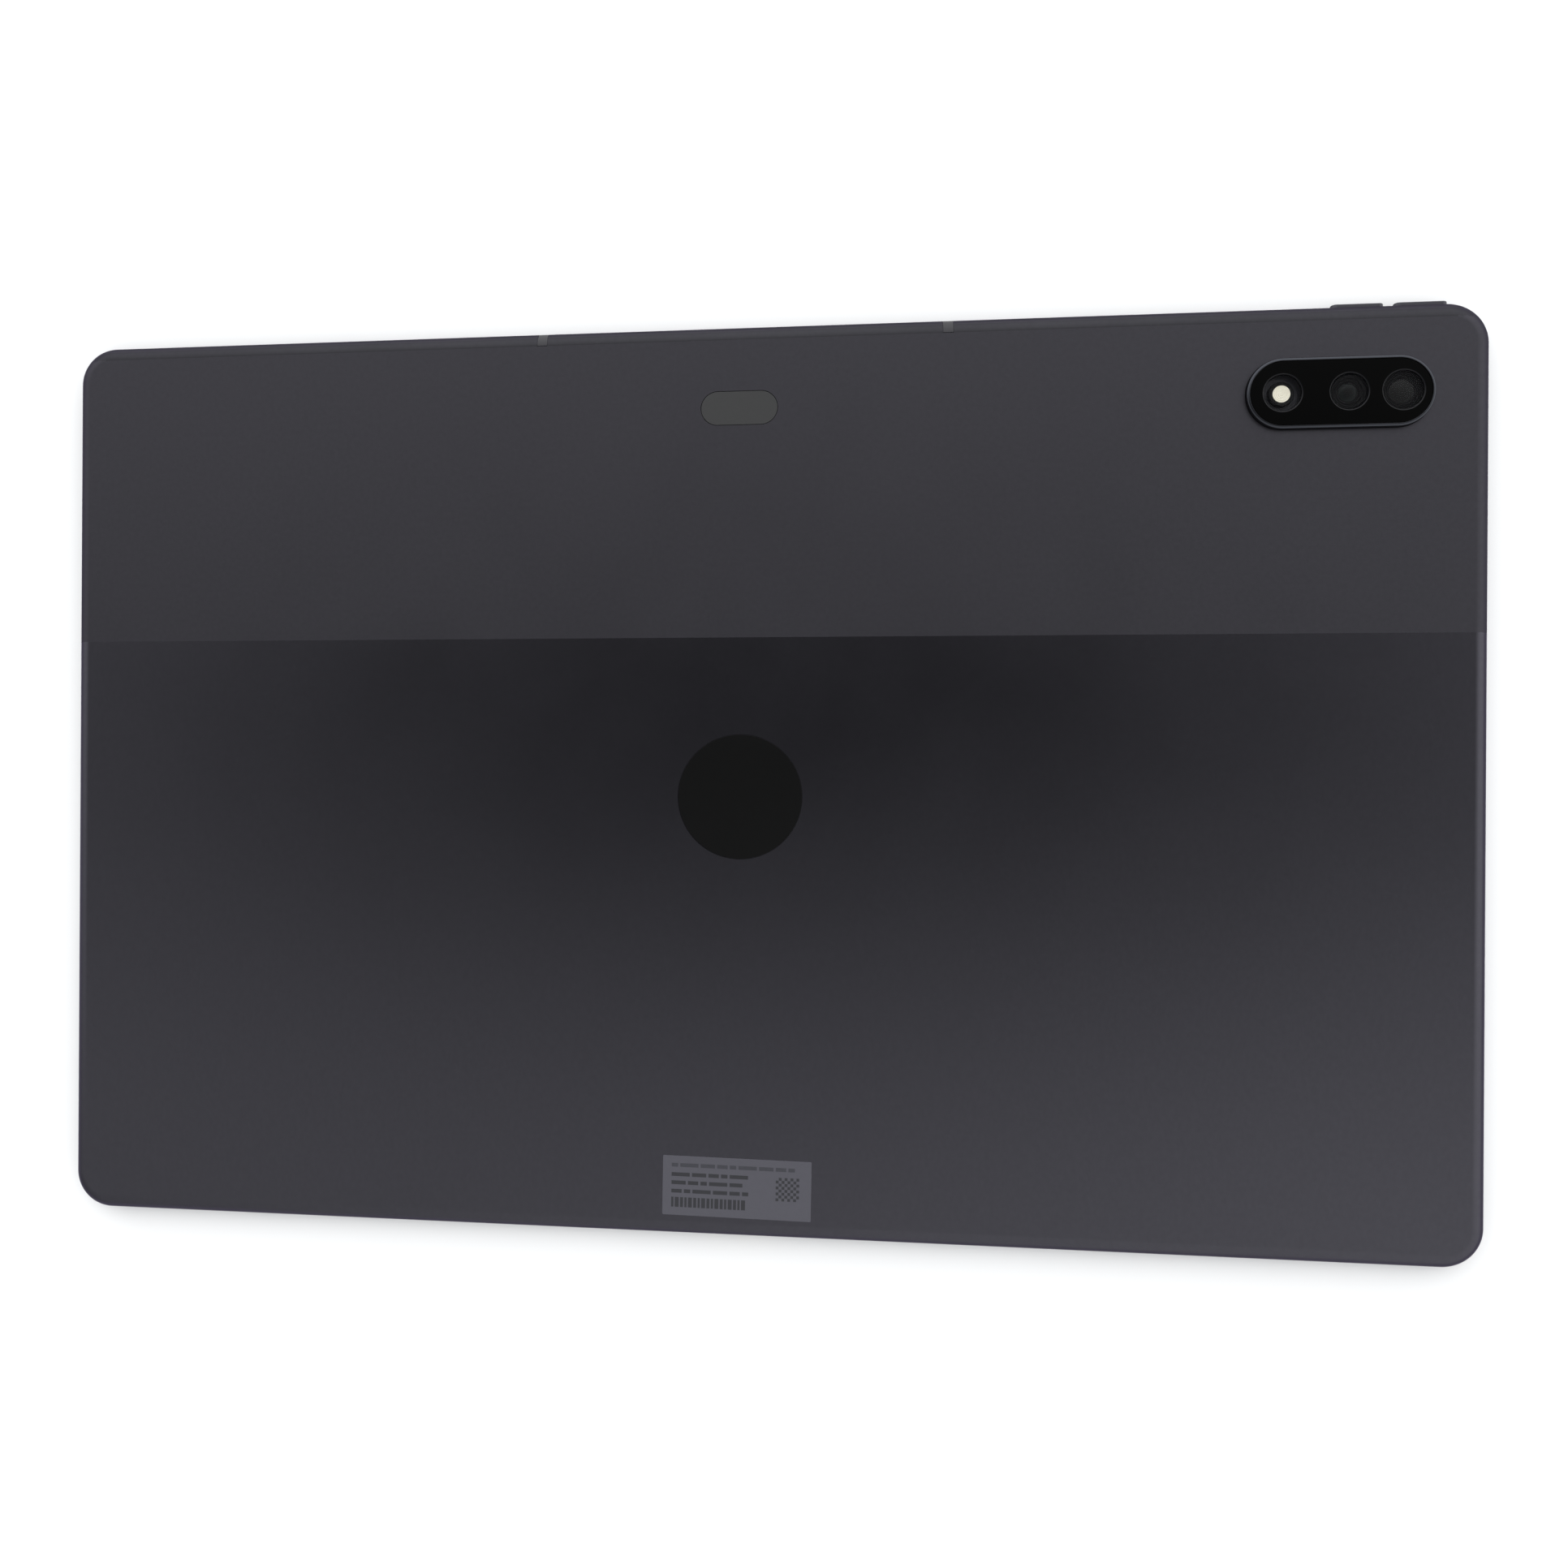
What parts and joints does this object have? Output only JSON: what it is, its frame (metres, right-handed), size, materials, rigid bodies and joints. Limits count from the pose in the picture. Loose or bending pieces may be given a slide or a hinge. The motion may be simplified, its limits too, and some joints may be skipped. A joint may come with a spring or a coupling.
{
  "type": "tablet computer",
  "caption": "Slate tablet computer with a flat metal back, a raised camera island, side keys, a card tray and a dock contact strip.",
  "frame": {"origin": "middle of the tablet on the outer face of the cover glass", "axes": "+X along the long side, from the edge with the USB-C socket to the edge with the power key; +Y towards the edge with the volume keys; +Z out of the back"},
  "size_m": [0.2856, 0.185, 0.0066],
  "materials": {
    "housing": "satin",
    "antenna_plastic": "satin",
    "screen_glass": "polished",
    "camera_glass": "polished",
    "camera_trim": "gloss",
    "window_plastic": "satin",
    "polished_inlay": "polished",
    "label_film": "satin",
    "black_plastic": "matte",
    "lamp_lens": "gloss",
    "rubber": "matte",
    "midframe": "satin",
    "steel": "satin",
    "gold": "gloss",
    "copper": "satin",
    "circuit_board": "satin",
    "flex_film": "satin",
    "graphite": "matte",
    "battery_pouch": "satin"
  },
  "bodies": {
    "tablet": {"rear_housing": "housing", "antenna_strip_left": "antenna_plastic", "antenna_strip_right": "antenna_plastic", "cover_glass": "screen_glass", "display_adhesive": "rubber", "display_panel": "black_plastic", "midframe_plate": "midframe", "front_camera_module": "black_plastic", "depth_sensor_module": "black_plastic", "camera_ring": "camera_trim", "camera_cover_glass": "camera_glass", "main_camera_module": "black_plastic", "second_camera_module": "black_plastic", "flash_led": "lamp_lens", "pen_charging_window": "window_plastic", "pen_charging_coil": "copper", "back_emblem_disc": "polished_inlay", "rating_label": "label_film", "power_key_board": "flex_film", "volume_key_board": "flex_film", "usb_socket_shell": "steel", "usb_socket_tongue": "black_plastic", "card_socket": "steel", "speaker_lower_left": "black_plastic", "speaker_upper_left": "black_plastic", "speaker_lower_right": "black_plastic", "speaker_upper_right": "black_plastic", "speaker_mesh_lower_left": "steel", "speaker_mesh_upper_left": "steel", "speaker_mesh_lower_right": "steel", "speaker_mesh_upper_right": "steel", "microphone_left": "steel", "microphone_right": "steel", "dock_magnet_left": "steel", "dock_magnet_right": "steel", "battery_cell_left": "battery_pouch", "battery_cell_right": "battery_pouch", "dock_contact_block": "black_plastic", "dock_contact_1": "gold", "dock_contact_2": "gold", "dock_contact_3": "gold", "main_board": "circuit_board", "io_board": "circuit_board", "processor_shield": "steel", "power_shield": "steel", "graphite_sheet": "graphite", "battery_protection_board": "circuit_board", "io_flex_cable": "flex_film", "display_flex_cable": "flex_film", "board_screw_1": "steel", "board_screw_2": "steel", "board_screw_3": "steel", "board_screw_4": "steel"},
    "power_key": {"power_key": "housing"},
    "volume_down_key": {"volume_down_key": "housing"},
    "volume_up_key": {"volume_up_key": "housing"},
    "card_tray": {"card_tray": "housing", "card_tray_seal": "rubber"},
    "ejector_rod": {"ejector_rod": "steel"},
    "ejector_lever": {"ejector_lever": "steel"}
  },
  "joints": [
    {"name": "power_key_press", "type": "slide", "parent": "tablet", "child": "power_key", "axis": [-1, 0, 0], "range_m": [0, 0.00025], "stiffness_N_per_m": 2000, "springref_m": -0.0001},
    {"name": "volume_down_key_press", "type": "slide", "parent": "tablet", "child": "volume_down_key", "axis": [0, -1, 0], "range_m": [0, 0.0003], "stiffness_N_per_m": 2000, "springref_m": -0.0001},
    {"name": "volume_up_key_press", "type": "slide", "parent": "tablet", "child": "volume_up_key", "axis": [0, -1, 0], "range_m": [0, 0.0003], "stiffness_N_per_m": 2000, "springref_m": -0.0001},
    {"name": "card_tray_slide", "type": "slide", "parent": "tablet", "child": "card_tray", "axis": [-1, 0, 0], "range_m": [0, 0.0205]},
    {"name": "ejector_rod_push", "type": "slide", "parent": "tablet", "child": "ejector_rod", "axis": [1, 0, 0], "range_m": [0, 0.0012]},
    {"name": "ejector_lever_turn", "type": "hinge", "parent": "tablet", "child": "ejector_lever", "pos_m": [-0.1209, 0.0252, 0.0024], "axis": [0, 0, 1], "range_deg": [-22.5, 0]}
  ],
  "couplings": [
    {"joint": "ejector_lever_turn", "follows": "ejector_rod_push", "rad_per_m": -322.9}
  ]
}
